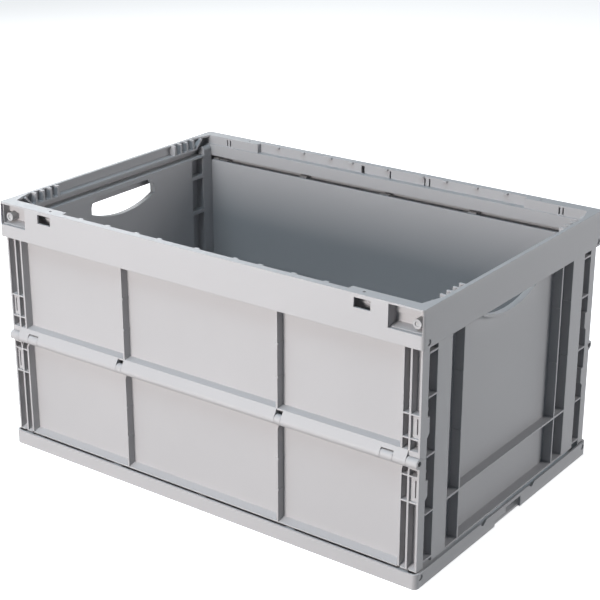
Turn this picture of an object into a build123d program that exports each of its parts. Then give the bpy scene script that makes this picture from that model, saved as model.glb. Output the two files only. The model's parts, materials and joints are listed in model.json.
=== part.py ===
"""Folding crate: tray base, rim frame, bi-fold long walls, swing-up end walls and their hinge rods.

Millimetres. The origin is the middle of the underside, +X runs along the long side and +Z is up.
The long walls are drawn at the back (+Y) and the end walls at the right (+X), then mirrored.
"""

import os
from math import atan2, degrees

from build123d import *

# Overall size
crate_length = 600.0
crate_width = 400.0
crate_height = 320.0

# Moulded thicknesses and gaps
wall = 2.5
skirt = 2.7
gap = 0.5
fold_gap = 0.3
bore_play = 0.05
root = 1.0

# Base tray
base_inset = 1.0
base_height = 18.0
base_rim = 2.6
base_corner = 6.0
floor_top = 3.0
floor_relief = 0.8
floor_rib = 9.0
floor_columns = 4
floor_rows = 2
floor_margin = 16.0
hand_notch_half = 30.0
hand_notch_height = 14.0
hand_notch_step = 5.0
low_step_height = 7.0
drain_notch_y = 57.0
drain_notch_width = 15.0
drain_notch_depth = 4.5

# Hinge rods at the base and in the frame, then at mid height
base_axis_z = 12.0
frame_axis_drop = 37.0
side_rod_radius = 2.5
side_knuckle_wall = 1.9
side_lug_wall = 2.5
side_lug_clear = 1.0
rod_head_overhang = 0.9
rod_head_thickness = 0.8
head_recess_play = 0.2
head_recess_depth = 2.0
middle_rod_radius = 3.0
middle_barrel_radius = 6.0
middle_rod_recess = 4.0

# Long walls
panel_end_gap = 4.0
panel_depth = 12.7
panel_rise = 0.4
web_tail = 2.0
web_top_rise = 3.5
rail_front = 1.1
rail_slope = 3.3
field_rib_x = 112.0
end_rib_insets = (13.3, 22.9)
lower_lip = 2.2
band_height = 12.5
band_slope = 1.5
joint_rise = 2.5
bump_near = 25.0
bump_length = 23.0
bump_stand = 4.2
bump_chamfer = 4.0
bump_slot_play = 2.0
lower_shelf_drops = (17.0, 47.5)
upper_shelf_rises = (26.0, 53.5)
shelf = 1.8
pad_recess = 3.0
slit_width = 1.4
slit_inset = 5.0

# Hinge knuckles and lugs, by their distance from the middle of the long side
lug_width = 12.0
lug_gap = 1.5
side_lug_positions = (130.0,)
side_end_lug_inset = 16.5
knuckle_width = 14.0
side_knuckle_positions = (0.0,)
middle_end_knuckle = 14.0
middle_upper_knuckle = 16.0
middle_inner_knuckle = 16.0
lens_knuckle_low = 112.0
lens_knuckle_high = 121.0
lens_window_rise = 10.5
knuckle_slot_rise = 7.8

# End walls
end_wall_depth = 14.0
end_wall_clear = 2.0
strip_low_inset = 44.5
strip_high_inset = 16.0
end_rib_inset = 70.5
end_rib = 2.6
cross_rib_rise = -65.5
rung_rises = (2.7, 70.3)
low_rung_rise = 5.7
high_rung_drop = 28.6
rung = 2.0
opening_half = 60.0
opening_bottom_drop = 63.5
opening_corner_drop = 51.0
opening_top_drop = 30.0
opening_fillet = 14.0
collar_stand = 5.0
knob_radius = 2.0
knob_stand = 6.0
knob_inset = 8.0
knob_rises = (-19.0, 53.0)

# End wall pivots
pivot_inset = 12.0
pivot_drop = 18.5
pivot_pin_radius = 3.0
pivot_pin_tip = 1.0
pivot_lug_wall = 2.4
pivot_lug_length = 15.0
pivot_lug_foot = 7.5
pivot_head_overhang = 2.25
pivot_head_length = 10.5
pivot_socket_wall = 2.6
pivot_socket_depth = 1.0

# Rim frame
frame_flare = 1.0
frame_height = 43.0
frame_corner = 4.0
flange = 2.5
long_flange = 9.0
corner_flange_length = 96.0
short_flange = 5.0
ledge_drop = 12.0
inner_wall_bottom_drop = 27.4
short_ledge_drop = 13.0
short_ledge_edge = 12.0
gusset_edge = 13.0
comb_insets = (6.0, 19.0, 31.5, 44.0)
comb_rib = 3.0
tooth_positions = (0.0, 54.0, 88.0, 132.0, 174.0)
tooth_width = 6.0
tooth_reach = 3.0
pocket_length = 40.5
pocket_skin = 1.5
pocket_bottom_drop = 27.8
pocket_top_drop = 2.2
pocket_floor_rise = 3.4
window_inset = 63.5
window_width = 20.5
window_bottom_drop = 15.5
window_top_drop = 4.5
window_groove = 0.8
window_groove_drops = (11.5, 17.5, 20.5)
slot_insets = (44.0, 49.0)
slot_width = 2.0
slot_bottom_drop = 11.0
slot_top_drop = 2.5
inner_slots = ((-36.0, 5.0), (6.0, 2.0), (58.0, 2.0), (65.0, 2.0))
flange_hole_inset = 77.0
flange_hole_radius = 1.8

# Planes and axes that follow from the sizes above
half_length = crate_length / 2
half_width = crate_width / 2
base_half_length = half_length - base_inset
base_half_width = half_width - base_inset
frame_axis_z = crate_height - frame_axis_drop
side_knuckle_radius = side_rod_radius + side_knuckle_wall
side_lug_radius = side_rod_radius + side_lug_wall
rod_head_radius = side_rod_radius + rod_head_overhang
head_recess_radius = rod_head_radius + head_recess_play
middle_axis_y = half_width - middle_barrel_radius
middle_axis_z = (base_axis_z + frame_axis_z) / 2
joint_z = middle_axis_z + joint_rise
panel_half = half_length - panel_end_gap
panel_outer = middle_axis_y - fold_gap
panel_inner = panel_outer - panel_depth
panel_web = panel_inner + wall
side_axis_y = panel_web + side_lug_clear + side_lug_radius
lower_bottom = base_height + panel_rise
lower_top = middle_axis_z - middle_barrel_radius - gap
upper_top = frame_axis_z - side_lug_radius - side_lug_clear
web_top = frame_axis_z + web_top_rise
end_outer = panel_half
end_inner = end_outer - end_wall_depth
end_web = end_inner + wall
end_half = panel_inner - gap
end_bottom = base_height + end_wall_clear
pivot_x = half_length - pivot_inset
pivot_z = crate_height - pivot_drop
pivot_lug_radius = pivot_pin_radius + pivot_lug_wall
pivot_head_radius = pivot_pin_radius + pivot_head_overhang
pivot_socket_radius = pivot_head_radius - pivot_socket_wall
end_top = pivot_z - pivot_lug_radius
cross_rib_z = middle_axis_z + cross_rib_rise
rung_heights = (
    end_bottom + low_rung_rise,
    cross_rib_z,
    *(middle_axis_z + rise for rise in rung_rises),
    end_top - high_rung_drop,
)
end_rib_y = end_half - end_rib_inset
frame_bottom = crate_height - frame_height
frame_top_length = half_length - frame_flare
frame_top_width = half_width - frame_flare
flange_underside = crate_height - flange
long_flange_edge = frame_top_width - long_flange
short_flange_edge = frame_top_length - short_flange
ledge_z = crate_height - ledge_drop
short_ledge_z = crate_height - short_ledge_drop
inner_wall_bottom = crate_height - inner_wall_bottom_drop
corner_flange_start = frame_top_length - corner_flange_length
corner_flange_edge = panel_web - gap
short_ledge_half = end_half - pivot_lug_length - short_ledge_drop + flange
pocket_bottom = crate_height - pocket_bottom_drop
pocket_top = crate_height - pocket_top_drop
pocket_high = frame_top_length - pocket_skin
pocket_low = pocket_high - pocket_length
window_high = frame_top_length - window_inset
window_low = window_high - window_width
flange_hole_x = frame_top_length - flange_hole_inset
side_end_lug = panel_half - side_end_lug_inset
middle_knuckle_edges = (
    panel_half - middle_end_knuckle,
    panel_half - middle_end_knuckle - middle_upper_knuckle,
    panel_half - middle_end_knuckle - middle_upper_knuckle - middle_inner_knuckle,
)
inner_knuckle_end = side_end_lug - lug_width / 2 - lug_gap


def back_plane(y):
    """Returns a plane that faces +Y at this Y, with Z up in the sketch and X reversed."""
    return Plane(origin=(0, y, 0), x_dir=(-1, 0, 0), z_dir=(0, 1, 0))


def span(low_x, high_x, low_y, high_y):
    """Draws a rectangle between these limits in the sketch that is open."""
    with Locations(((low_x + high_x) / 2, (low_y + high_y) / 2)):
        Rectangle(high_x - low_x, high_y - low_y)


def both_sides(low, high):
    """Returns a span and its mirror image about the middle."""
    return ((low, high), (-high, -low))


# Where the lower panels carry middle knuckles, and where the upper panels' fascia runs
lower_knuckles = (
    *both_sides(middle_knuckle_edges[0], panel_half),
    *both_sides(middle_knuckle_edges[2], middle_knuckle_edges[1]),
    *both_sides(lens_knuckle_low, lens_knuckle_high),
)
fascia_spans = (
    *both_sides(lens_knuckle_high, middle_knuckle_edges[0]),
    (-lens_knuckle_low, lens_knuckle_low),
)

# Lugs of the base and the frame, and the panels' knuckles between them
side_lugs = [
    (x - lug_width / 2, x + lug_width / 2)
    for place in (*side_lug_positions, side_end_lug)
    for x in (place, -place)
]
side_knuckles = [
    (x - knuckle_width / 2, x + knuckle_width / 2)
    for place in side_knuckle_positions
    for x in sorted({place, -place})
]
side_knuckles += both_sides(inner_knuckle_end - knuckle_width, inner_knuckle_end)

# Fields and channels between the ribs of a long wall
half_rib = wall / 2
outer_rib, inner_rib = (panel_half - inset for inset in end_rib_insets)
panel_fields = (
    (-field_rib_x + half_rib, field_rib_x - half_rib),
    *both_sides(field_rib_x + half_rib, inner_rib - half_rib),
)
inner_channels = both_sides(inner_rib + half_rib, outer_rib - half_rib)
outer_channels = both_sides(outer_rib + half_rib, panel_half - wall)


# Base: tray, hinge lugs, hand notches and drain notches
with BuildPart() as base:
    with BuildSketch():
        RectangleRounded(2 * base_half_length, 2 * base_half_width, base_corner)
    extrude(amount=base_height)
    with BuildSketch(Plane.XY.offset(floor_top)):
        RectangleRounded(
            2 * (base_half_length - base_rim),
            2 * (base_half_width - base_rim),
            base_corner - base_rim,
        )
    extrude(amount=base_height, mode=Mode.SUBTRACT)

    # Shallow squares under the floor, between its stiffening ribs
    cell_x = 2 * (base_half_length - floor_margin) / floor_columns
    cell_y = 2 * (base_half_width - floor_margin) / floor_rows
    with BuildSketch():
        with GridLocations(cell_x, cell_y, floor_columns, floor_rows):
            Rectangle(cell_x - floor_rib, cell_y - floor_rib)
    extrude(amount=floor_relief, mode=Mode.SUBTRACT)

    # Slots in the floor take the lower walls' stop bumps when the walls lie folded
    slot_low = side_axis_y + base_axis_z - middle_axis_z + bump_near
    with BuildSketch():
        for low, high in both_sides(end_web, base_half_length - base_rim):
            span(low, high, slot_low - bump_slot_play, slot_low + bump_length + bump_slot_play)
            span(low, high, -slot_low - bump_length - bump_slot_play, bump_slot_play - slot_low)
    extrude(amount=floor_top, mode=Mode.SUBTRACT)

    # Lugs stand on the rim, high enough for a folded wall to pass beneath
    for low, high in side_lugs:
        with BuildSketch(Plane.YZ.offset(low)):
            with Locations((side_axis_y, base_axis_z)):
                Circle(side_lug_radius)
            span(
                side_axis_y,
                base_half_width - base_rim / 2,
                base_axis_z - side_lug_radius,
                base_axis_z + side_lug_radius,
            )
            span(
                side_axis_y + side_lug_radius - web_tail,
                base_half_width - base_rim / 2,
                floor_top / 2,
                base_axis_z,
            )
        extrude(amount=high - low)
    mirror(about=Plane.XZ)

    # Rod bores run out through the right end and stop inside the left end
    for y in (side_axis_y, -side_axis_y):
        with BuildSketch(Plane.YZ.offset(-base_half_length + head_recess_depth)):
            with Locations((y, base_axis_z)):
                Circle(side_rod_radius + bore_play)
        extrude(amount=2 * base_half_length, mode=Mode.SUBTRACT)
        with BuildSketch(Plane.YZ.offset(base_half_length - head_recess_depth)):
            with Locations((y, base_axis_z)):
                Circle(head_recess_radius)
        extrude(amount=base_rim, mode=Mode.SUBTRACT)

    # Stepped hand notch at the foot of each short side, and two drain notches in the rim beside it
    for side in (1, -1):
        with BuildSketch(Plane.YZ.offset(side * base_half_length)):
            span(-hand_notch_half, hand_notch_half, 0, low_step_height)
            span(*sorted((-side * hand_notch_step, side * hand_notch_half)), 0, hand_notch_height)
        extrude(amount=-side * base_rim, mode=Mode.SUBTRACT)
        with BuildSketch(Plane.YZ.offset(side * base_half_length)):
            for y in (drain_notch_y, -drain_notch_y):
                with BuildLine():
                    Polyline(
                        (y - drain_notch_width / 2, base_height),
                        (y, base_height - drain_notch_depth),
                        (y + drain_notch_width / 2, base_height),
                        close=True,
                    )
                make_face()
        extrude(amount=-side * base_rim, mode=Mode.SUBTRACT)


# Lower long wall: base knuckles, web, ribs, top lip and its share of the middle hinge
with BuildPart() as lower_back_panel:
    with BuildSketch(back_plane(panel_inner)):
        span(-panel_half, panel_half, lower_bottom, lower_top)
    extrude(amount=panel_depth)
    with BuildSketch(back_plane(panel_inner)):
        span(-panel_half, panel_half, base_axis_z - web_tail, joint_z - fold_gap)
    extrude(amount=wall)

    # Fields and channels are pockets down to the web
    field_bottom = lower_bottom + rail_front
    field_top = lower_top - lower_lip
    shelves = [middle_axis_z - drop for drop in lower_shelf_drops]
    with BuildSketch(back_plane(panel_web)):
        for low, high in (*panel_fields, *inner_channels, *outer_channels):
            span(low, high, field_bottom, field_top)
    extrude(amount=panel_depth, mode=Mode.SUBTRACT)

    # The bottom rail slopes up to the web
    with BuildSketch(Plane.YZ):
        with BuildLine():
            Polyline(
                (panel_outer, field_bottom),
                (panel_web - root, field_bottom),
                (panel_web - root, field_bottom + rail_slope),
                (panel_web, field_bottom + rail_slope),
                close=True,
            )
        make_face()
    extrude(amount=panel_half, both=True)

    # Shelves across the end channels, and the slit pad between two of them
    with BuildSketch(back_plane(panel_inner + half_rib)):
        for low, high in both_sides(inner_rib, panel_half):
            for height in shelves:
                span(low, high, height - shelf / 2, height + shelf / 2)
    extrude(amount=panel_depth - half_rib)
    with BuildSketch(back_plane(panel_inner + half_rib)):
        for low, high in both_sides(outer_rib, panel_half):
            span(low, high, shelves[1], shelves[0])
    extrude(amount=panel_depth - half_rib - pad_recess)
    with BuildSketch(back_plane(panel_outer)):
        for low, high in both_sides(panel_half - slit_inset - slit_width, panel_half - slit_inset):
            span(low, high, shelves[1] + slit_inset, shelves[0] - slit_inset)
    extrude(amount=wall - panel_depth, mode=Mode.SUBTRACT)

    # Stop bumps on the end edges, just outside the end wall's web
    for side in (1, -1):
        with BuildSketch(back_plane(panel_inner)):
            low = end_web + gap
            bump_top = middle_axis_z - bump_near
            if side > 0:
                span(low, panel_half, bump_top - bump_length, bump_top)
            else:
                span(-panel_half, -low, bump_top - bump_length, bump_top)
        extrude(amount=-bump_stand)
    bump_edges = lower_back_panel.edges().filter_by(Axis.X).group_by(Axis.Y)[0]
    chamfer(bump_edges.group_by(Axis.Z)[0], length=bump_chamfer)

    # End flange and rib tongues reach up to the joint line
    with BuildSketch(back_plane(panel_inner)):
        for low, high in both_sides(panel_half - wall, panel_half):
            span(low, high, lower_top - wall, joint_z - fold_gap)
    extrude(amount=panel_depth)

    # Middle hinge: clear the upper panel's barrel and the fascia that folds down over it
    with BuildSketch(Plane.YZ):
        with Locations((middle_axis_y, middle_axis_z)):
            Circle(middle_barrel_radius + fold_gap)
        span(panel_outer, middle_axis_y, middle_axis_z - band_height, middle_axis_z)
        make_hull()
    extrude(amount=middle_knuckle_edges[0] + fold_gap, both=True, mode=Mode.SUBTRACT)
    for low, high in lower_knuckles:
        inside_low = low + (fold_gap if abs(low) < panel_half else 0)
        inside_high = high - (fold_gap if abs(high) < panel_half else 0)
        with BuildSketch(Plane.YZ.offset(inside_low)):
            with Locations((middle_axis_y, middle_axis_z)):
                Circle(middle_barrel_radius)
            span(
                middle_axis_y - middle_barrel_radius,
                middle_axis_y - middle_rod_radius,
                lower_top - lower_lip,
                middle_axis_z,
            )
        extrude(amount=inside_high - inside_low)
    with BuildSketch(Plane.YZ):
        with Locations((middle_axis_y, middle_axis_z)):
            Circle(middle_rod_radius + 2 * bore_play)
    extrude(amount=half_length, both=True, mode=Mode.SUBTRACT)

    # Base hinge knuckles hang from the web between the base's lugs
    for low, high in side_knuckles:
        with BuildSketch(Plane.YZ.offset(low)):
            with Locations((side_axis_y, base_axis_z)):
                Circle(side_knuckle_radius)
            span(
                panel_inner + half_rib,
                side_axis_y,
                base_axis_z - web_tail,
                lower_bottom + rail_front,
            )
        extrude(amount=high - low)
    with BuildSketch(Plane.YZ):
        with Locations((side_axis_y, base_axis_z)):
            Circle(side_rod_radius + bore_play)
    extrude(amount=half_length, both=True, mode=Mode.SUBTRACT)

    # Small notches in the rail's front edge beside the end lugs
    with BuildSketch(back_plane(panel_outer)):
        for place in (side_end_lug - lug_width / 2, side_end_lug + lug_width / 2):
            for low, high in both_sides(place - lug_gap, place + lug_gap):
                span(low, high, lower_bottom, field_bottom)
    extrude(amount=-wall, mode=Mode.SUBTRACT)


# Upper long wall: long barrel and band at the bottom, ribs, web and frame knuckles at the top
with BuildPart() as upper_back_panel:
    band_top = middle_axis_z + band_height
    with BuildSketch(back_plane(panel_inner)):
        span(-panel_half, panel_half, joint_z, upper_top)
    extrude(amount=panel_depth)
    with BuildSketch(back_plane(panel_inner)):
        span(-panel_half, panel_half, joint_z, web_top)
    extrude(amount=wall)
    with BuildSketch(back_plane(panel_web)):
        for low, high in (*panel_fields, *inner_channels, *outer_channels):
            span(low, high, band_top, upper_top)
    extrude(amount=panel_depth, mode=Mode.SUBTRACT)

    # The band is open at its back, behind a skin that runs down into the barrel
    with BuildSketch(Plane.YZ):
        with BuildLine():
            Polyline(
                (panel_web, joint_z),
                (panel_outer - wall, joint_z),
                (panel_outer - wall, band_top - wall),
                (panel_web, band_top - wall + band_slope),
                close=True,
            )
        make_face()
    extrude(amount=inner_rib - half_rib, both=True, mode=Mode.SUBTRACT)
    with BuildSketch(Plane.YZ):
        with BuildLine():
            Polyline(
                (panel_outer, band_top),
                (panel_web - root, band_top),
                (panel_web - root, band_top + band_slope),
                (panel_web, band_top + band_slope),
                close=True,
            )
        make_face()
    extrude(amount=panel_half, both=True)

    # Shelves, slit pad and bumps mirror those of the lower wall
    shelves = [middle_axis_z + rise for rise in upper_shelf_rises]
    with BuildSketch(back_plane(panel_inner + half_rib)):
        for low, high in both_sides(inner_rib, panel_half):
            for height in shelves:
                span(low, high, height - shelf / 2, height + shelf / 2)
    extrude(amount=panel_depth - half_rib)
    with BuildSketch(back_plane(panel_inner + half_rib)):
        for low, high in both_sides(outer_rib, panel_half):
            span(low, high, shelves[0], shelves[1])
    extrude(amount=panel_depth - half_rib - pad_recess)
    with BuildSketch(back_plane(panel_outer)):
        for low, high in both_sides(panel_half - slit_inset - slit_width, panel_half - slit_inset):
            span(low, high, shelves[0] + slit_inset, shelves[1] - slit_inset)
    extrude(amount=wall - panel_depth, mode=Mode.SUBTRACT)
    for side in (1, -1):
        with BuildSketch(back_plane(panel_inner)):
            low = end_web + gap
            bump_bottom = middle_axis_z + bump_near
            if side > 0:
                span(low, panel_half, bump_bottom, bump_bottom + bump_length)
            else:
                span(-panel_half, -low, bump_bottom, bump_bottom + bump_length)
        extrude(amount=-bump_stand)
    bump_edges = upper_back_panel.edges().filter_by(Axis.X).group_by(Axis.Y)[0]
    chamfer(bump_edges.group_by(Axis.Z)[0], length=bump_chamfer)

    # Middle hinge: barrel under a sloping fascia, clearance round the lower knuckles, rod bore
    for low, high in fascia_spans:
        with BuildSketch(Plane.YZ.offset(low)):
            with Locations((middle_axis_y, middle_axis_z)):
                Circle(middle_barrel_radius)
            span(panel_outer - wall, panel_outer, middle_axis_z, band_top)
            make_hull()
        extrude(amount=high - low)
    for low, high in lower_knuckles:
        with BuildSketch(Plane.YZ.offset(low)):
            with Locations((middle_axis_y, middle_axis_z)):
                Circle(middle_barrel_radius + fold_gap)
        extrude(amount=high - low, mode=Mode.SUBTRACT)
    with BuildSketch(back_plane(panel_outer - wall)):
        for low, high in both_sides(lens_knuckle_low, lens_knuckle_high):
            span(low, high, middle_axis_z, middle_axis_z + lens_window_rise)
        for low, high in both_sides(middle_knuckle_edges[2], middle_knuckle_edges[1]):
            span(low, high, middle_axis_z, middle_axis_z + knuckle_slot_rise)
    extrude(amount=wall + middle_barrel_radius, mode=Mode.SUBTRACT)
    with BuildSketch(Plane.YZ):
        with Locations((middle_axis_y, middle_axis_z)):
            Circle(middle_rod_radius + 2 * bore_play)
    extrude(amount=half_length, both=True, mode=Mode.SUBTRACT)

    # Frame hinge knuckles stand off the web between the frame's lugs
    for low, high in side_knuckles:
        with BuildSketch(Plane.YZ.offset(low)):
            with Locations((side_axis_y, frame_axis_z)):
                Circle(side_knuckle_radius)
            span(
                panel_inner + half_rib,
                side_axis_y,
                upper_top - wall,
                web_top,
            )
        extrude(amount=high - low)
    with BuildSketch(Plane.YZ):
        with Locations((side_axis_y, frame_axis_z)):
            Circle(side_rod_radius + bore_play)
    extrude(amount=half_length, both=True, mode=Mode.SUBTRACT)


# Hand opening outline, drawn once for the hole and for its collar
opening_bottom = crate_height - opening_bottom_drop
opening_corner = crate_height - opening_corner_drop
opening_top = crate_height - opening_top_drop
with BuildSketch(Plane.YZ) as hand_opening:
    with BuildLine():
        ThreePointArc((-opening_half, opening_corner), (0, opening_bottom), (opening_half, opening_corner))
        Polyline(
            (opening_half, opening_corner),
            (opening_half, opening_top),
            (-opening_half, opening_top),
            (-opening_half, opening_corner),
        )
    make_face()
    fillet(hand_opening.vertices().sort_by(Axis.Y)[-2:], radius=opening_fillet)


# End wall: web with full-depth strips, ladder slots at its sides and pivot lugs on top
with BuildPart() as end_wall_right:
    strip_low = end_half - strip_low_inset
    strip_high = end_half - strip_high_inset
    with BuildSketch(Plane.YZ.offset(end_inner)):
        span(-end_half, end_half, end_bottom, end_top)
    extrude(amount=wall)
    with BuildSketch(Plane.YZ.offset(end_inner)):
        span(-strip_high, strip_high, end_bottom, end_top)
    extrude(amount=end_wall_depth)

    # The middle field and two channels are pockets, divided by one rib that runs across
    rib_low = end_rib_y - end_rib / 2
    rib_high = end_rib_y + end_rib / 2
    with BuildSketch(Plane.YZ.offset(end_web)):
        for low, high in ((-rib_low, rib_low), *both_sides(rib_high, strip_low)):
            span(low, high, end_bottom + wall, cross_rib_z - half_rib)
            span(low, high, cross_rib_z + half_rib, end_top - wall)
    extrude(amount=end_wall_depth, mode=Mode.SUBTRACT)

    # The strips are hollow on the inside, with ribs level with the rungs
    rung_levels = (end_bottom, *rung_heights[1:], end_top)
    with BuildSketch(Plane.YZ.offset(end_inner)):
        for low, high in both_sides(strip_low + wall, strip_high - wall):
            for bottom, top in zip(rung_levels[:-1], rung_levels[1:]):
                span(low, high, bottom + wall, top - wall)
    extrude(amount=end_wall_depth - wall, mode=Mode.SUBTRACT)

    # Rungs across the ladder slots
    with BuildSketch(Plane.YZ.offset(end_inner + half_rib)):
        for low, high in both_sides(strip_high - half_rib, end_half):
            for height in rung_heights:
                span(low, high, height - rung / 2, height + rung / 2)
    extrude(amount=end_wall_depth - half_rib)

    # Snap knobs in the ladder slots
    with BuildSketch(Plane.YZ.offset(end_web - half_rib)):
        for y in (end_half - knob_inset, knob_inset - end_half):
            for rise in knob_rises:
                with Locations((y, middle_axis_z + rise)):
                    Circle(knob_radius)
    extrude(amount=knob_stand + half_rib)

    # Pivot lugs at both top corners
    for low, high in both_sides(end_half - pivot_lug_length, end_half):
        with BuildSketch(Plane(origin=(0, low, 0), x_dir=(1, 0, 0), z_dir=(0, -1, 0))):
            with Locations((pivot_x, pivot_z)):
                Circle(pivot_lug_radius)
            span(pivot_x - pivot_lug_radius, pivot_x + pivot_lug_radius, end_top - pivot_lug_foot, pivot_z)
            span(end_inner, pivot_x, end_top - pivot_lug_foot, end_top)
        extrude(amount=low - high)

    # Hand opening with its collar
    with BuildSketch(Plane.YZ.offset(end_inner)):
        add(hand_opening.sketch_local)
        offset(amount=wall, kind=Kind.ARC)
    extrude(amount=wall + collar_stand)
    with BuildSketch(Plane.YZ.offset(end_inner)):
        add(hand_opening.sketch_local)
    extrude(amount=end_wall_depth, mode=Mode.SUBTRACT)

    # Pivot bores
    with BuildSketch(Plane(origin=(0, 0, 0), x_dir=(1, 0, 0), z_dir=(0, -1, 0))):
        with Locations((pivot_x, pivot_z)):
            Circle(pivot_pin_radius + bore_play)
    extrude(amount=half_width, both=True, mode=Mode.SUBTRACT)


# Rim frame: flared skirt, stepped inner walls, pockets, windows, comb ribs and hinge lugs
with BuildPart() as top_frame:
    flare_angle = degrees(atan2(frame_flare, frame_height))
    with BuildSketch(Plane.XY.offset(frame_bottom)):
        RectangleRounded(crate_length, crate_width, frame_corner)
    extrude(amount=frame_height, taper=flare_angle)
    with BuildSketch(Plane.XY.offset(frame_bottom)):
        RectangleRounded(crate_length - 2 * skirt, crate_width - 2 * skirt, frame_corner - skirt)
    extrude(amount=frame_height - flange, taper=flare_angle, mode=Mode.SUBTRACT)

    # Opening in the top flange, narrower between the wide corner parts
    with BuildSketch(Plane.XY.offset(flange_underside)):
        span(-corner_flange_start, corner_flange_start, -long_flange_edge, long_flange_edge)
        span(-short_flange_edge, short_flange_edge, -short_ledge_half, short_ledge_half)
        with BuildLine():
            Polyline(
                (short_flange_edge, short_ledge_half),
                (frame_top_length - gusset_edge, corner_flange_edge),
                (-frame_top_length + gusset_edge, corner_flange_edge),
                (-short_flange_edge, short_ledge_half),
                (-short_flange_edge, -short_ledge_half),
                (-frame_top_length + gusset_edge, -corner_flange_edge),
                (frame_top_length - gusset_edge, -corner_flange_edge),
                (short_flange_edge, -short_ledge_half),
                close=True,
            )
        make_face()
    extrude(amount=flange, mode=Mode.SUBTRACT)

    # Stepped inner wall of the long sides
    inner_skirt_length = frame_top_length - skirt / 2
    with BuildSketch(Plane.YZ):
        with BuildLine():
            Polyline(
                (long_flange_edge, flange_underside + half_rib),
                (long_flange_edge + wall, flange_underside + half_rib),
                (long_flange_edge + wall, ledge_z - wall),
                (panel_web, ledge_z - wall),
                (panel_web, inner_wall_bottom),
                (panel_inner, inner_wall_bottom),
                (panel_inner, ledge_z),
                (long_flange_edge, ledge_z),
                close=True,
            )
        make_face()
    extrude(amount=corner_flange_start, both=True)
    for low, high in both_sides(corner_flange_start, inner_skirt_length):
        with BuildSketch(Plane.YZ.offset(low)):
            with BuildLine():
                Polyline(
                    (corner_flange_edge, flange_underside + half_rib),
                    (corner_flange_edge + wall, flange_underside + half_rib),
                    (corner_flange_edge + wall, ledge_z - wall),
                    (panel_web, ledge_z - wall),
                    (panel_web, inner_wall_bottom),
                    (panel_inner, inner_wall_bottom),
                    (panel_inner, ledge_z),
                    (corner_flange_edge, ledge_z),
                    close=True,
                )
            make_face()
        extrude(amount=high - low)
    with BuildSketch(Plane.XY.offset(ledge_z - wall)):
        for low, high in both_sides(corner_flange_start, corner_flange_start + wall):
            span(low, high, corner_flange_edge, long_flange_edge + wall)
    extrude(amount=flange_underside + half_rib - ledge_z + wall)

    # Teeth along the long sides' flange
    with BuildSketch(Plane.XY.offset(flange_underside)):
        for place in tooth_positions:
            for x in sorted({place, -place}):
                span(
                    x - tooth_width / 2,
                    x + tooth_width / 2,
                    long_flange_edge - tooth_reach,
                    long_flange_edge + half_rib,
                )
    extrude(amount=flange)

    # Corner pockets: cross wall and sloping floor
    outer_reach = frame_top_width - skirt / 2
    for low, high in both_sides(pocket_low - wall, pocket_low):
        with BuildSketch(Plane.YZ.offset(low)):
            span(corner_flange_edge, outer_reach, inner_wall_bottom, flange_underside + half_rib)
        extrude(amount=high - low)
    for low, high in both_sides(pocket_low - wall, inner_skirt_length):
        with BuildSketch(Plane.YZ.offset(low)):
            with BuildLine():
                Polyline(
                    (outer_reach, pocket_bottom),
                    (panel_web - half_rib, pocket_bottom + pocket_floor_rise),
                    (panel_web - half_rib, inner_wall_bottom),
                    (side_axis_y + side_lug_radius, inner_wall_bottom),
                    (outer_reach, pocket_bottom - wall),
                    close=True,
                )
            make_face()
        extrude(amount=high - low)

    # Grooves across the inner wall behind each window, above its step and below it
    for drop in window_groove_drops:
        face = corner_flange_edge + wall if drop < ledge_drop + wall else panel_web
        with BuildSketch(back_plane(face)):
            for low, high in both_sides(window_low, window_high):
                span(low, high, crate_height - drop - window_groove, crate_height - drop)
        extrude(amount=-window_groove, mode=Mode.SUBTRACT)

    # Hinge lugs for the frame rods hang from the skirt
    for low, high in side_lugs:
        with BuildSketch(Plane.YZ.offset(low)):
            with Locations((side_axis_y, frame_axis_z)):
                Circle(side_lug_radius)
            span(
                side_axis_y,
                half_width - skirt / 2,
                frame_axis_z - side_lug_radius,
                frame_axis_z + side_lug_radius,
            )
        extrude(amount=high - low)
    mirror(about=Plane.XZ)

    # Short sides: ledge, comb ribs and the slope that closes the recess at each corner
    for side in (1, -1):
        with BuildSketch(Plane.XY.offset(short_ledge_z - wall)):
            edges = sorted((side * (frame_top_length - short_ledge_edge), side * inner_skirt_length))
            span(*edges, -short_ledge_half, short_ledge_half)
        extrude(amount=wall)
        with BuildSketch(Plane.XY.offset(short_ledge_z - half_rib)):
            for inset in comb_insets:
                for y in (short_ledge_half - inset, inset - short_ledge_half):
                    span(*edges, y - comb_rib / 2, y + comb_rib / 2)
        extrude(amount=short_ledge_drop + half_rib)
    slope_end = short_ledge_half + short_ledge_drop - flange
    for side in (1, -1):
        for low, high in both_sides(frame_top_length - short_ledge_edge, inner_skirt_length):
            with BuildSketch(Plane.YZ.offset(low)):
                with BuildLine():
                    Polyline(
                        (side * short_ledge_half, short_ledge_z - wall),
                        (side * short_ledge_half, short_ledge_z),
                        (side * slope_end, flange_underside + half_rib),
                        (side * (slope_end + wall), flange_underside),
                        close=True,
                    )
                make_face()
            extrude(amount=high - low)

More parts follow.
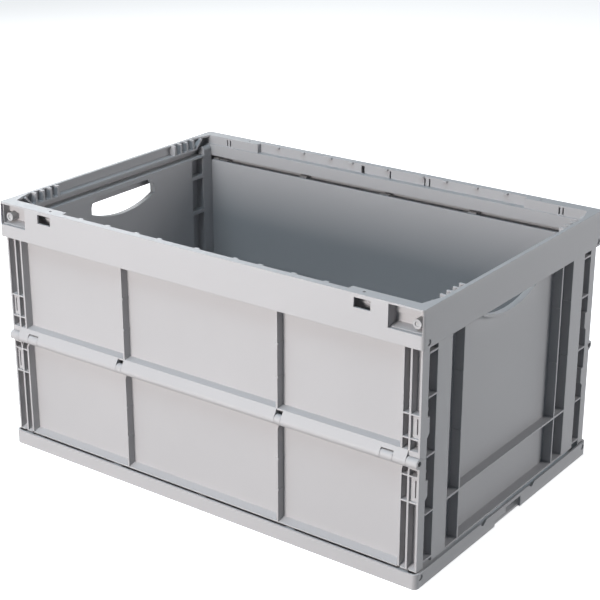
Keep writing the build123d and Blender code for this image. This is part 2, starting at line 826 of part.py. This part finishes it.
    # Pockets, windows and slots are cut through the walls that they pass
    for side in (1, -1):
        with BuildSketch(back_plane(side * outer_reach - side * skirt)):
            for low, high in both_sides(pocket_low, pocket_high):
                span(low, high, pocket_bottom, pocket_top)
            for low, high in both_sides(window_low, window_high):
                span(low, high, crate_height - window_bottom_drop, crate_height - window_top_drop)
        extrude(amount=side * 2 * skirt + side * half_rib, mode=Mode.SUBTRACT)
        with BuildSketch(back_plane(side * (panel_inner - gap))):
            for inset in slot_insets:
                for x in (frame_top_length - inset, inset - frame_top_length):
                    span(
                        x - slot_width / 2,
                        x + slot_width / 2,
                        crate_height - slot_bottom_drop,
                        crate_height - slot_top_drop,
                    )
        extrude(amount=side * 2 * wall, mode=Mode.SUBTRACT)
        with BuildSketch(back_plane(side * (long_flange_edge - gap))):
            for x, width in inner_slots:
                middle = -side * x
                span(middle - width / 2, middle + width / 2, ledge_z - wall, flange_underside)
        extrude(amount=side * (wall + gap), mode=Mode.SUBTRACT)
    with Locations(
        *[
            (x, y, crate_height)
            for x in (flange_hole_x, -flange_hole_x)
            for y in (long_flange_edge, -long_flange_edge)
        ]
    ):
        Hole(flange_hole_radius, depth=flange)

    # Bores for the frame rods and for the end walls' pivot pins
    for y in (side_axis_y, -side_axis_y):
        with BuildSketch(Plane.YZ.offset(-half_length + head_recess_depth)):
            with Locations((y, frame_axis_z)):
                Circle(side_rod_radius + bore_play)
        extrude(amount=crate_length, mode=Mode.SUBTRACT)
        with BuildSketch(Plane.YZ.offset(half_length - head_recess_depth)):
            with Locations((y, frame_axis_z)):
                Circle(head_recess_radius)
        extrude(amount=skirt, mode=Mode.SUBTRACT)
    with BuildSketch(Plane.XZ):
        with Locations((pivot_x, pivot_z), (-pivot_x, pivot_z)):
            Circle(pivot_pin_radius + bore_play)
    extrude(amount=corner_flange_edge + wall + gap, both=True, mode=Mode.SUBTRACT)
    for side in (1, -1):
        with BuildSketch(back_plane(side * panel_web)):
            with Locations((pivot_x, pivot_z), (-pivot_x, pivot_z)):
                Circle(pivot_head_radius + fold_gap)
        extrude(amount=side * 2 * wall, mode=Mode.SUBTRACT)


# Hinge rods: plain in the middle, headed at the right end in the base and the frame
with BuildPart() as middle_hinge_rod_back:
    with BuildSketch(Plane.YZ):
        with Locations((middle_axis_y, middle_axis_z)):
            Circle(middle_rod_radius)
    extrude(amount=panel_half - middle_rod_recess, both=True)

with BuildPart() as base_hinge_rod_back:
    with BuildSketch(Plane.YZ.offset(-base_half_length + head_recess_depth + 2 * bore_play)):
        with Locations((side_axis_y, base_axis_z)):
            Circle(side_rod_radius)
    extrude(amount=2 * (base_half_length - head_recess_depth) - bore_play)
    with BuildSketch(Plane.YZ.offset(base_half_length - head_recess_depth + bore_play)):
        with Locations((side_axis_y, base_axis_z)):
            Circle(rod_head_radius)
    extrude(amount=rod_head_thickness)

with BuildPart() as frame_hinge_rod_back:
    with BuildSketch(Plane.YZ.offset(-half_length + head_recess_depth + 2 * bore_play)):
        with Locations((side_axis_y, frame_axis_z)):
            Circle(side_rod_radius)
    extrude(amount=2 * (half_length - head_recess_depth) - bore_play)
    with BuildSketch(Plane.YZ.offset(half_length - head_recess_depth + bore_play)):
        with Locations((side_axis_y, frame_axis_z)):
            Circle(rod_head_radius)
    extrude(amount=rod_head_thickness)

# End wall pivot pin: shaft through the frame's inner wall, with a socketed head in the pocket
with BuildPart() as end_wall_pivot_back_right:
    with BuildSketch(Plane.XZ.offset(-(panel_web + pivot_head_length))):
        with Locations((pivot_x, pivot_z)):
            Circle(pivot_head_radius)
    extrude(amount=pivot_head_length)
    with BuildSketch(Plane.XZ.offset(-panel_web)):
        with Locations((pivot_x, pivot_z)):
            Circle(pivot_pin_radius)
    extrude(amount=wall + gap + pivot_lug_length - pivot_pin_tip)
    with BuildSketch(Plane.XZ.offset(-(panel_web + pivot_head_length))):
        with Locations((pivot_x, pivot_z)):
            Circle(pivot_socket_radius)
    extrude(amount=pivot_socket_depth, mode=Mode.SUBTRACT)

# Mirrored copies for the front and the left
with BuildPart() as lower_front_panel:
    mirror(lower_back_panel.part, about=Plane.XZ)
with BuildPart() as upper_front_panel:
    mirror(upper_back_panel.part, about=Plane.XZ)
with BuildPart() as middle_hinge_rod_front:
    mirror(middle_hinge_rod_back.part, about=Plane.XZ)
with BuildPart() as base_hinge_rod_front:
    mirror(base_hinge_rod_back.part, about=Plane.XZ)
with BuildPart() as frame_hinge_rod_front:
    mirror(frame_hinge_rod_back.part, about=Plane.XZ)
with BuildPart() as end_wall_left:
    mirror(end_wall_right.part, about=Plane.YZ)
with BuildPart() as end_wall_pivot_front_right:
    mirror(end_wall_pivot_back_right.part, about=Plane.XZ)
with BuildPart() as end_wall_pivot_back_left:
    mirror(end_wall_pivot_back_right.part, about=Plane.YZ)
with BuildPart() as end_wall_pivot_front_left:
    mirror(end_wall_pivot_front_right.part, about=Plane.YZ)

finished = {
    "base": base,
    "top_frame": top_frame,
    "lower_front_panel": lower_front_panel,
    "lower_back_panel": lower_back_panel,
    "upper_front_panel": upper_front_panel,
    "upper_back_panel": upper_back_panel,
    "end_wall_left": end_wall_left,
    "end_wall_right": end_wall_right,
    "middle_hinge_rod_front": middle_hinge_rod_front,
    "middle_hinge_rod_back": middle_hinge_rod_back,
    "base_hinge_rod_front": base_hinge_rod_front,
    "base_hinge_rod_back": base_hinge_rod_back,
    "frame_hinge_rod_front": frame_hinge_rod_front,
    "frame_hinge_rod_back": frame_hinge_rod_back,
    "end_wall_pivot_front_left": end_wall_pivot_front_left,
    "end_wall_pivot_front_right": end_wall_pivot_front_right,
    "end_wall_pivot_back_left": end_wall_pivot_back_left,
    "end_wall_pivot_back_right": end_wall_pivot_back_right,
}
os.makedirs("parts", exist_ok=True)
for label, piece in finished.items():
    piece.part.label = label
    export_step(piece.part, f"parts/{label}.step")
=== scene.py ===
"""Studio scene of a light grey folding crate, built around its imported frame."""

from __future__ import annotations

import json
import logging
import math
from dataclasses import dataclass, field
from enum import Enum

import bpy
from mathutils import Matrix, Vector

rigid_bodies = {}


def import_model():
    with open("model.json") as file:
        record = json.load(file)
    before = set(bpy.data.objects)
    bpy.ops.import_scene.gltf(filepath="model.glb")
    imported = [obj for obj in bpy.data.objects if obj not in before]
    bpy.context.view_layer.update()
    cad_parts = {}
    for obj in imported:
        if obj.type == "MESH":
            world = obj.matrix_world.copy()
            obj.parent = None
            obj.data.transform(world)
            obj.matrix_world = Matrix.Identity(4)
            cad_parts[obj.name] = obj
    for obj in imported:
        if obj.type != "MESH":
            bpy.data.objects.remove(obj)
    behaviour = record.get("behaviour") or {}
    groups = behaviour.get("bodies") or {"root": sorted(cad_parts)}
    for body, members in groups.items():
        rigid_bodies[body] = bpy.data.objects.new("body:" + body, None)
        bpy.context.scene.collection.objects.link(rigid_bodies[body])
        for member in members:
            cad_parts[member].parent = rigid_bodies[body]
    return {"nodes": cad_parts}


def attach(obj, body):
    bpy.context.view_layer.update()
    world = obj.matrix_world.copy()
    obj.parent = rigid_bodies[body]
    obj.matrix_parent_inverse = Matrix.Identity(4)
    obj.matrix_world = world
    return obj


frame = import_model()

LOG = logging.getLogger("folding_crate")
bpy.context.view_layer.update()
MM = 0.001
NOISE_MEAN = 0.5
NOISE_ROUGHNESS = 0.55
MIX_FACTOR, MIX_LOW, MIX_HIGH, MIX_RESULT = 0, 6, 7, 2

Number = int | float
Span = tuple[float, float]
Triple = tuple[float, float, float]
Colour = Triple

WHITE: Colour = (1.0, 1.0, 1.0)


class Side(Enum):
    """Which way a wall faces, as its nodes' names give it."""

    FRONT = "front"
    BACK = "back"
    LEFT = "left"
    RIGHT = "right"

    @property
    def sign(self) -> float:
        """Returns -1 for the front and the left, and 1 for the back and the right."""
        return -1.0 if self in (Side.FRONT, Side.LEFT) else 1.0


LONG_SIDES = (Side.FRONT, Side.BACK)
SHORT_SIDES = (Side.LEFT, Side.RIGHT)


class WearZone(Enum):
    """Where a moulded piece is rubbed in use."""

    NONE = "none"
    FEET = "feet"
    RIM = "rim"
    GRIP = "grip"


class Ending(Enum):
    """The node that a shader tree ends in."""

    MATERIAL = "ShaderNodeOutputMaterial"
    WORLD = "ShaderNodeOutputWorld"


def metres(span: Span) -> Span:
    """Turns a span in millimetres into one in metres."""
    low, high = span
    return low * MM, high * MM


class Channel:
    """A shader socket that takes part in Python arithmetic."""

    def __init__(self, tree: bpy.types.NodeTree, socket: bpy.types.NodeSocket) -> None:
        """Keeps the socket and the tree that it belongs to."""
        self.tree = tree
        self.socket = socket

    def _maths(self, operation: str, *values: Channel | Number) -> Channel:
        """Adds one Math node.

        Args:
            operation: The node's operation.
            values: Its inputs, as channels or plain numbers.

        Returns:
            The node's result.
        """
        node = self.tree.nodes.new("ShaderNodeMath")
        node.operation = operation
        for slot, value in zip(node.inputs, values):
            if isinstance(value, Channel):
                self.tree.links.new(value.socket, slot)
            else:
                slot.default_value = float(value)
        return Channel(self.tree, node.outputs[0])

    def __add__(self, other: Channel | Number) -> Channel:
        """Adds a value."""
        return self._maths("ADD", self, other)

    def __radd__(self, other: Number) -> Channel:
        """Is added to a number."""
        return self._maths("ADD", other, self)

    def __sub__(self, other: Channel | Number) -> Channel:
        """Takes a value away."""
        return self._maths("SUBTRACT", self, other)

    def __rsub__(self, other: Number) -> Channel:
        """Is taken from a number."""
        return self._maths("SUBTRACT", other, self)

    def __mul__(self, other: Channel | Number) -> Channel:
        """Multiplies by a value."""
        return self._maths("MULTIPLY", self, other)

    def __rmul__(self, other: Number) -> Channel:
        """Multiplies a number."""
        return self._maths("MULTIPLY", other, self)

    def __truediv__(self, other: Channel | Number) -> Channel:
        """Divides by a value."""
        return self._maths("DIVIDE", self, other)

    def __rtruediv__(self, other: Number) -> Channel:
        """Divides a number."""
        return self._maths("DIVIDE", other, self)

    def size(self) -> Channel:
        """Returns this value without its sign."""
        return self._maths("ABSOLUTE", self)

    def clamped(self) -> Channel:
        """Returns this value held between 0 and 1."""
        return self._maths("MINIMUM", self._maths("MAXIMUM", self, 0.0), 1.0)

    def ramped(self, span: Span) -> Channel:
        """Stretches a span over 0 to 1, or over 1 to 0 where its end is the lower."""
        low, high = span
        return ((self - low) / (high - low)).clamped()


@dataclass(frozen=True)
class Pattern:
    """A noise pattern on the object's own coordinates.

    It has scale features per metre and detail octaves of finer noise. Its values are
    read over span, and stretch multiplies the coordinates along X, Y and Z.
    """

    scale: float
    detail: float
    span: Span = (0.0, 1.0)
    stretch: Triple | None = None


class ShaderSheet:
    """The node tree of a material or of the world, with short ways to add to it."""

    def __init__(
        self,
        owner: bpy.types.Material | bpy.types.World,
        ending: Ending = Ending.MATERIAL,
    ) -> None:
        """Starts with an empty tree.

        Args:
            owner: The material or world that the tree belongs to.
            ending: The node that its shader ends in.
        """
        owner.use_nodes = True
        self.tree = owner.node_tree
        self.tree.nodes.clear()
        self.ending = ending

    def node(
        self,
        kind: str,
        settings: dict[str, object] | None = None,
        inputs: dict[int | str, object] | None = None,
        output: int | str = 0,
    ) -> Channel:
        """Adds any node and links or sets its inputs.

        Args:
            kind: The node's type name.
            settings: Properties that are set before the inputs.
            inputs: A channel to link or a value to set, by input name or number.
            output: The output that is returned.

        Returns:
            The chosen output as a channel.
        """
        made = self.tree.nodes.new(kind)
        for key, value in (settings or {}).items():
            setattr(made, key, value)
        for key, value in (inputs or {}).items():
            if isinstance(value, Channel):
                self.tree.links.new(value.socket, made.inputs[key])
            else:
                made.inputs[key].default_value = value
        return Channel(self.tree, made.outputs[output])

    def surface(self, shader: Channel) -> None:
        """Ends the tree in a shader."""
        out = self.tree.nodes.new(self.ending.value)
        self.tree.links.new(shader.socket, out.inputs["Surface"])

    def place(self) -> Channel:
        """Returns the object's own coordinates, in metres."""
        return self.node("ShaderNodeTexCoord", output="Object")

    def along(self, axis: str) -> Channel:
        """Returns the object's own X, Y or Z coordinate, in metres."""
        inputs = {"Vector": self.place()}
        return self.node("ShaderNodeSeparateXYZ", inputs=inputs, output=axis)

    def noise(self, pattern: Pattern) -> Channel:
        """Adds a noise pattern.

        Args:
            pattern: Its sizes.

        Returns:
            The noise value, before its span is read.
        """
        where = self.place()
        if pattern.stretch is not None:
            where = self.node(
                "ShaderNodeVectorMath",
                {"operation": "MULTIPLY"},
                {0: where, 1: pattern.stretch},
            )
        return self.node(
            "ShaderNodeTexNoise",
            {"noise_dimensions": "3D"},
            {
                "Vector": where,
                "Scale": pattern.scale,
                "Detail": pattern.detail,
                "Roughness": NOISE_ROUGHNESS,
            },
        )

    def blend(self, factor: Channel, low: Colour, high: Colour) -> Channel:
        """Mixes two colours by a factor.

        Args:
            factor: 0 gives low and 1 gives high.
            low: The first colour.
            high: The second colour.

        Returns:
            The mixed colour.
        """
        return self.node(
            "ShaderNodeMix",
            {"data_type": "RGBA"},
            {MIX_FACTOR: factor, MIX_LOW: (*low, 1.0), MIX_HIGH: (*high, 1.0)},
            output=MIX_RESULT,
        )

    def bumped(
        self, height: Channel, depth: float, strength: float, normal: Channel
    ) -> Channel:
        """Lays a bump over a normal.

        Args:
            height: The height pattern, 0 to 1.
            depth: Its full height, in metres.
            strength: How much of it shows.
            normal: The normal that it is laid on.

        Returns:
            The new normal.
        """
        return self.node(
            "ShaderNodeBump",
            inputs={
                "Height": height,
                "Distance": depth,
                "Strength": strength,
                "Normal": normal,
            },
        )


@dataclass(frozen=True)
class MouldedPlastic:
    """Light grey injection-moulded polypropylene with a fine spark-eroded grain.

    The depths and the edge's radius are in metres. The rubbed zones are in
    millimetres: each span runs from where the rubbing starts to where it is full.
    """

    name: str
    zone: WearZone = WearZone.NONE
    colour: Colour = (0.400, 0.390, 0.397)
    shade: float = 0.03
    light_share: float = 2.0
    cloud: Pattern = Pattern(5.0, 3.0, span=(0.3, 0.7))
    cloud_weight: float = 0.5
    grain: Pattern = Pattern(1400.0, 2.0, span=(0.3, 0.7))
    grain_weight: float = 0.12
    grain_depth: float = 0.00003
    grain_strength: float = 0.6
    sink: Pattern = Pattern(14.0, 1.0)
    sink_depth: float = 0.00035
    sink_strength: float = 0.5
    roughness: float = 0.52
    roughness_swing: float = 0.10
    scuff: Pattern = Pattern(55.0, 4.0, span=(0.62, 0.80), stretch=(1.0, 1.0, 6.0))
    scuff_lift: float = 0.06
    scuff_dulling: float = 0.12
    rub: Pattern = Pattern(220.0, 5.0, span=(0.45, 0.70))
    rub_lift: float = 0.30
    polish: float = 0.12
    edge_radius: float = 0.0007
    edge_samples: int = 6
    edge_span: Span = (0.02, 0.35)
    # How much lighter the edges are painted: a painted highlight where light catches the
    # rounded edges, with slight edge wear.
    edge_highlight_and_wear_lift: float = 0.22
    specular: float = 0.45
    foot_heights: Span = (7.0, 0.5)
    rim_heights: Span = (313.0, 319.5)
    grip_reaches: Span = (82.0, 62.0)
    grip_heights: Span = (236.0, 262.0)

    def _scaled(self, factor: float) -> Colour:
        """Returns the colour brightened or darkened by a factor."""
        red, green, blue = self.colour
        return (red * factor, green * factor, blue * factor)

    def _rubbed(self, sheet: ShaderSheet) -> Channel | None:
        """Draws where the piece is rubbed.

        Args:
            sheet: The material's node tree.

        Returns:
            A mask of the rubbed zone, or None where there is none.
        """
        if self.zone is WearZone.FEET:
            return sheet.along("Z").ramped(metres(self.foot_heights))
        if self.zone is WearZone.RIM:
            return sheet.along("Z").ramped(metres(self.rim_heights))
        if self.zone is WearZone.GRIP:
            across = sheet.along("Y").size().ramped(metres(self.grip_reaches))
            above = sheet.along("Z").ramped(metres(self.grip_heights))
            return across * above
        return None

    def _edges(self, sheet: ShaderSheet, rounded: Channel) -> Channel:
        """Draws the edges that get a painted highlight and slight edge wear, where the
        rounded normal leaves the true one.

        Args:
            sheet: The material's node tree.
            rounded: The rounded normal.

        Returns:
            A mask of the edges.
        """
        flat = sheet.node("ShaderNodeNewGeometry", output="True Normal")
        agreement = sheet.node(
            "ShaderNodeVectorMath",
            {"operation": "DOT_PRODUCT"},
            {0: rounded, 1: flat},
            output="Value",
        )
        return (1.0 - agreement).ramped(self.edge_span)

    def material(self) -> bpy.types.Material:
        """Builds the material.

        Returns:
            The finished material.
        """
        made = bpy.data.materials.new(self.name)
        sheet = ShaderSheet(made)
        clouds = sheet.noise(self.cloud).ramped(self.cloud.span)
        grain = sheet.noise(self.grain)
        scuffs = sheet.noise(self.scuff).ramped(self.scuff.span)
        rounded = sheet.node(
            "ShaderNodeBevel",
            {"samples": self.edge_samples},
            {"Radius": self.edge_radius},
        )
        tone = clouds * self.cloud_weight
        tone = tone + grain.ramped(self.grain.span) * self.grain_weight
        tone = tone + scuffs * self.scuff_lift
        # Painted highlight along every edge, with slight edge wear.
        tone = tone + self._edges(sheet, rounded) * self.edge_highlight_and_wear_lift
        roughness = self.roughness + (grain - NOISE_MEAN) * self.roughness_swing
        roughness = roughness + scuffs * self.scuff_dulling
        rubbed = self._rubbed(sheet)
        if rubbed is not None:
            rubs = rubbed * sheet.noise(self.rub).ramped(self.rub.span)
            tone = tone + rubs * self.rub_lift
            roughness = roughness - rubbed * self.polish + rubs * self.polish
        colour = sheet.blend(
            tone.clamped(),
            self._scaled(1 - self.shade),
            self._scaled(1 + self.light_share * self.shade),
        )
        sinks = sheet.noise(self.sink)
        sunk = sheet.bumped(sinks, self.sink_depth, self.sink_strength, rounded)
        grained = sheet.bumped(grain, self.grain_depth, self.grain_strength, sunk)
        shader = sheet.node(
            "ShaderNodeBsdfPrincipled",
            inputs={
                "Base Color": colour,
                "Roughness": roughness,
                "Specular IOR Level": self.specular,
                "Normal": grained,
            },
        )
        sheet.surface(shader)
        return made


@dataclass(frozen=True)
class FloorPaint:
    """Plain white studio floor with a barely visible tooth."""

    name: str = "studio_floor"
    colour: Colour = (0.93, 0.93, 0.93)
    tooth: Pattern = Pattern(40.0, 2.0)
    roughness: float = 0.7
    roughness_swing: float = 0.05
    glow: float = 0.70

    def material(self) -> bpy.types.Material:
        """Builds the material.

        Returns:
            The finished material.
        """
        made = bpy.data.materials.new(self.name)
        sheet = ShaderSheet(made)
        swing = (sheet.noise(self.tooth) - NOISE_MEAN) * self.roughness_swing
        shader = sheet.node(
            "ShaderNodeBsdfPrincipled",
            inputs={
                "Base Color": (*self.colour, 1.0),
                "Roughness": self.roughness + swing,
                "Emission Color": (*WHITE, 1.0),
                "Emission Strength": self.glow,
            },
        )
        sheet.surface(shader)
        return made


def select_none() -> None:
    """Deselects every object."""
    for item in bpy.context.scene.objects:
        item.select_set(False)


def added(name: str, data: bpy.types.ID) -> bpy.types.Object:
    """Adds an object to the scene.

    Args:
        name: The object's name.
        data: The mesh, light or camera that it holds.

    Returns:
        The new object.
    """
    item = bpy.data.objects.new(name, data)
    bpy.context.scene.collection.objects.link(item)
    return item


def aim(item: bpy.types.Object, place: Vector, direction: Vector) -> None:
    """Stands a light or camera at a place and turns it along a direction.

    Args:
        item: The light or camera.
        place: Where it stands, in metres.
        direction: Where it looks.
    """
    item.location = place
    item.rotation_mode = "QUATERNION"
    item.rotation_quaternion = direction.to_track_quat("-Z", "Y")


@dataclass(frozen=True)
class Bar:
    """A small bar with soft edges, given by two opposite corners in millimetres."""

    low: Vector
    high: Vector
    softness: float = 0.18
    edge_segments: int = 2

    def add(self) -> None:
        """Adds the bar to the mesh that is being edited."""
        centre = (self.low + self.high) / 2 * MM
        bpy.ops.mesh.select_all(action="DESELECT")
        bpy.ops.mesh.primitive_cube_add(size=1.0, location=centre)
        size = Vector([abs(high - low) for low, high in zip(self.low, self.high)]) * MM
        bpy.ops.transform.resize(value=size, center_override=centre)
        bpy.ops.mesh.bevel(
            offset=self.softness * MM, segments=self.edge_segments, affect="EDGES"
        )


def barred_piece(name: str, bars: list[Bar], body: str) -> bpy.types.Object:
    """Builds one piece out of small bars.

    Args:
        name: The piece's name.
        bars: The bars that it is made of.
        body: The body that it rides on.

    Returns:
        The piece, riding on its body.
    """
    select_none()
    piece = added(name, bpy.data.meshes.new(name))
    bpy.context.view_layer.objects.active = piece
    piece.select_set(True)
    bpy.ops.object.mode_set(mode="EDIT")
    for bar in bars:
        bar.add()
    bpy.ops.object.mode_set(mode="OBJECT")
    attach(piece, body)
    LOG.info("built %s with %d bars", name, len(bars))
    return piece


@dataclass(frozen=True)
class Lamp:
    """One square soft light, with its sizes in metres and its power in watts."""

    name: str
    place: Triple
    size: float
    power: float
    tint: Colour = WHITE
    target: Triple = (0.0, 0.0, 0.15)

    def build(self) -> None:
        """Adds the light and turns it to its target."""
        data = bpy.data.lights.new(self.name, "AREA")
        data.shape = "SQUARE"
        data.size = self.size
        data.energy = self.power
        data.color = self.tint
        place = Vector(self.place)
        aim(added(self.name, data), place, Vector(self.target) - place)
        LOG.info("lit %s", self.name)


@dataclass
class Studio:
    """Floor, soft lights and the camera that looks from the photograph's side.

    The angles are in degrees, the camera's place and sensor in millimetres, and the
    floor's size and the depth of the view in metres.
    """

    azimuth: float = 36.196
    elevation: float = 21.386
    place: Triple = (1026.8, -1400.7, 879.6)
    focal_pixels: float = 1533.3
    frame_pixels: float = 600.0
    sensor: float = 36.0
    view_depth: float = 60.0
    floor_size: float = 40.0
    sky_colour: Colour = (0.66, 0.84, 1.0)
    sky_strength: float = 0.12
    lamps: tuple[Lamp, ...] = (
        Lamp("key_front", (-0.30, -2.10, 0.56), 0.7, 49.0, tint=(1.0, 0.955, 0.93)),
        Lamp("fill_right_back", (2.1, 1.2, 0.9), 1.2, 29.0),
        Lamp("top_front", (-0.3, -0.9, 2.1), 1.2, 27.0, tint=(0.74, 0.90, 1.0)),
        Lamp("top_back", (-1.7, 1.0, 1.6), 1.4, 34.0),
    )

    def back(self) -> Vector:
        """Returns the direction from the crate towards the camera."""
        turn, tilt = math.radians(self.azimuth), math.radians(self.elevation)
        level = math.cos(tilt)
        return Vector((math.sin(turn) * level, -math.cos(turn) * level, math.sin(tilt)))

    def camera(self) -> None:
        """Adds the camera and makes it the scene's."""
        lens = bpy.data.cameras.new("studio_camera")
        lens.sensor_width = self.sensor
        lens.lens = self.focal_pixels / self.frame_pixels * self.sensor
        lens.clip_end = self.view_depth
        camera = added("studio_camera", lens)
        aim(camera, Vector(self.place) * MM, -self.back())
        bpy.context.scene.camera = camera

    def floor(self) -> None:
        """Adds the floor that the crate stands on, which throws no light back at it."""
        select_none()
        bpy.ops.mesh.primitive_plane_add(size=self.floor_size, location=(0, 0, 0))
        floor = bpy.context.object
        floor.name = "studio_floor"
        floor.data.materials.append(FloorPaint().material())
        floor.visible_diffuse = False

    def sky(self) -> None:
        """Fills the surroundings with weak even light that the camera sees as white."""
        world = bpy.data.worlds.new("studio_world")
        bpy.context.scene.world = world
        sheet = ShaderSheet(world, Ending.WORLD)
        ambient = sheet.node(
            "ShaderNodeBackground",
            inputs={"Color": (*self.sky_colour, 1.0), "Strength": self.sky_strength},
        )
        backdrop = sheet.node("ShaderNodeBackground", inputs={"Color": (*WHITE, 1.0)})
        seen = sheet.node("ShaderNodeLightPath", output="Is Camera Ray")
        either = {"Fac": seen, 1: ambient, 2: backdrop}
        sheet.surface(sheet.node("ShaderNodeMixShader", inputs=either))

    def build(self) -> None:
        """Sets up the whole studio."""
        self.floor()
        self.sky()
        for lamp in self.lamps:
            lamp.build()
        self.camera()
        bpy.context.scene.view_settings.view_transform = "Standard"


@dataclass
class SubAssembly:
    """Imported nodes, and new pieces where a class builds any, that share one finish."""

    nodes: tuple[str, ...]
    finish: MouldedPlastic
    pieces: list[bpy.types.Object] = field(default_factory=list, init=False)

    def build(self) -> None:
        """Reports a sub-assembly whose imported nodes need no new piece."""
        LOG.info("no new piece beside %s", ", ".join(self.nodes))

    def dress(self) -> None:
        """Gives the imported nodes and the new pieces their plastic."""
        material = self.finish.material()
        for node in self.nodes:
            for place in frame["nodes"][node].material_slots:
                place.material = material
            LOG.info("dressed %s in %s", node, material.name)
        for piece in self.pieces:
            piece.data.materials.append(material)
            LOG.info("dressed %s in %s", piece.name, material.name)


@dataclass
class BaseTray(SubAssembly):
    """The tray that everything stands in, rubbed along its foot."""

    nodes: tuple[str, ...] = ("base",)
    finish: MouldedPlastic = MouldedPlastic("base_grey", zone=WearZone.FEET)


@dataclass
class RimFrame(SubAssembly):
    """The rim that crowns the crate, rubbed where crates are stacked on it."""

    nodes: tuple[str, ...] = ("top_frame",)
    finish: MouldedPlastic = MouldedPlastic("rim_grey", zone=WearZone.RIM)


@dataclass
class LongWalls(SubAssembly):
    """Both bi-fold long walls, two leaves each, with sizes in millimetres."""

    nodes: tuple[str, ...] = tuple(
        f"{leaf}_{side.value}_panel"
        for side in LONG_SIDES
        for leaf in ("lower", "upper")
    )
    finish: MouldedPlastic = MouldedPlastic("long_wall_grey")
    rib_place: float = 112.0
    rib_thickness: float = 2.5
    hinge_height: float = 147.5
    step_rises: tuple[float, ...] = (-88.5, -49.5, 49.5, 88.5)
    step_height: float = 2.0
    step_stand: float = 0.75
    step_depths: Span = (182.9, 193.9)

    def steps(self, side: Side) -> list[Bar]:
        """Lays out the thin mould steps that go round a wall's two ribs.

        Args:
            side: The long side that the wall is on.

        Returns:
            One bar for each rib and level.
        """
        reach = self.rib_thickness / 2 + self.step_stand
        inner, outer = (side.sign * depth for depth in self.step_depths)
        bars = []
        for rib in (-self.rib_place, self.rib_place):
            for rise in self.step_rises:
                level = self.hinge_height + rise
                low = Vector((rib - reach, inner, level - self.step_height / 2))
                high = Vector((rib + reach, outer, level + self.step_height / 2))
                bars.append(Bar(low, high))
        return bars

    def build(self) -> None:
        """Adds the mould steps of both walls."""
        for side in LONG_SIDES:
            name = f"rib_steps_{side.value}"
            self.pieces.append(barred_piece(name, self.steps(side), "crate"))


@dataclass
class EndWalls(SubAssembly):
    """Both end walls, polished round their hand openings, with sizes in millimetres."""

    nodes: tuple[str, ...] = tuple(f"end_wall_{side.value}" for side in SHORT_SIDES)
    finish: MouldedPlastic = MouldedPlastic("end_wall_grey", zone=WearZone.GRIP)
    field_edge: float = 108.7
    channel_edges: Span = (111.3, 136.0)
    step_levels: tuple[float, ...] = (153.0, 222.0)
    step_height: float = 1.6
    step_stand: float = 0.75
    step_root: float = 0.3
    step_depths: Span = (284.2, 295.8)

    def steps(self, side: Side) -> list[Bar]:
        """Lays out the thin mould steps on the sides of a wall's ribs and channels.

        Args:
            side: The short side that the wall is on.

        Returns:
            One bar for each rib or channel side and level.
        """
        inner, outer = (side.sign * depth for depth in self.step_depths)
        near, far = self.channel_edges
        bars = []
        for edge, facing in ((self.field_edge, -1.0), (near, 1.0), (far, -1.0)):
            root, tip = edge - facing * self.step_root, edge + facing * self.step_stand
            for half in (-1.0, 1.0):
                for level in self.step_levels:
                    low = Vector((inner, half * root, level - self.step_height / 2))
                    high = Vector((outer, half * tip, level + self.step_height / 2))
                    bars.append(Bar(low, high))
        return bars

    def build(self) -> None:
        """Adds the mould steps of both walls."""
        for side in SHORT_SIDES:
            name, body = f"channel_steps_{side.value}", f"end_{side.value}"
            self.pieces.append(barred_piece(name, self.steps(side), body))


@dataclass
class HingeRods(SubAssembly):
    """The six full-length hinge rods, smoother than the walls."""

    nodes: tuple[str, ...] = tuple(
        f"{level}_hinge_rod_{side.value}"
        for level in ("base", "middle", "frame")
        for side in LONG_SIDES
    )
    finish: MouldedPlastic = MouldedPlastic(
        "rod_grey", roughness=0.38, grain_depth=0.00001
    )


@dataclass
class PivotPins(SubAssembly):
    """The four pins that the end walls turn on, in the rim's plastic with painted shade:
    a little darker, to tone down their brightly lit heads.
    """

    nodes: tuple[str, ...] = tuple(
        f"end_wall_pivot_{depth.value}_{end.value}"
        for depth in LONG_SIDES
        for end in SHORT_SIDES
    )
    finish: MouldedPlastic = MouldedPlastic(
        # The darker colour is painted shade that tones down the brightly lit pin heads.
        "pin_grey", colour=(0.385, 0.38, 0.385), roughness=0.42, grain_depth=0.00001
    )


def main() -> None:
    """Builds the studio and the crate in order."""
    logging.basicConfig(level=logging.INFO)
    Studio().build()
    assemblies: tuple[SubAssembly, ...] = (
        BaseTray(),
        RimFrame(),
        LongWalls(),
        EndWalls(),
        HingeRods(),
        PivotPins(),
    )
    for assembly in assemblies:
        assembly.build()
        assembly.dress()


if __name__ == "__main__":
    main()
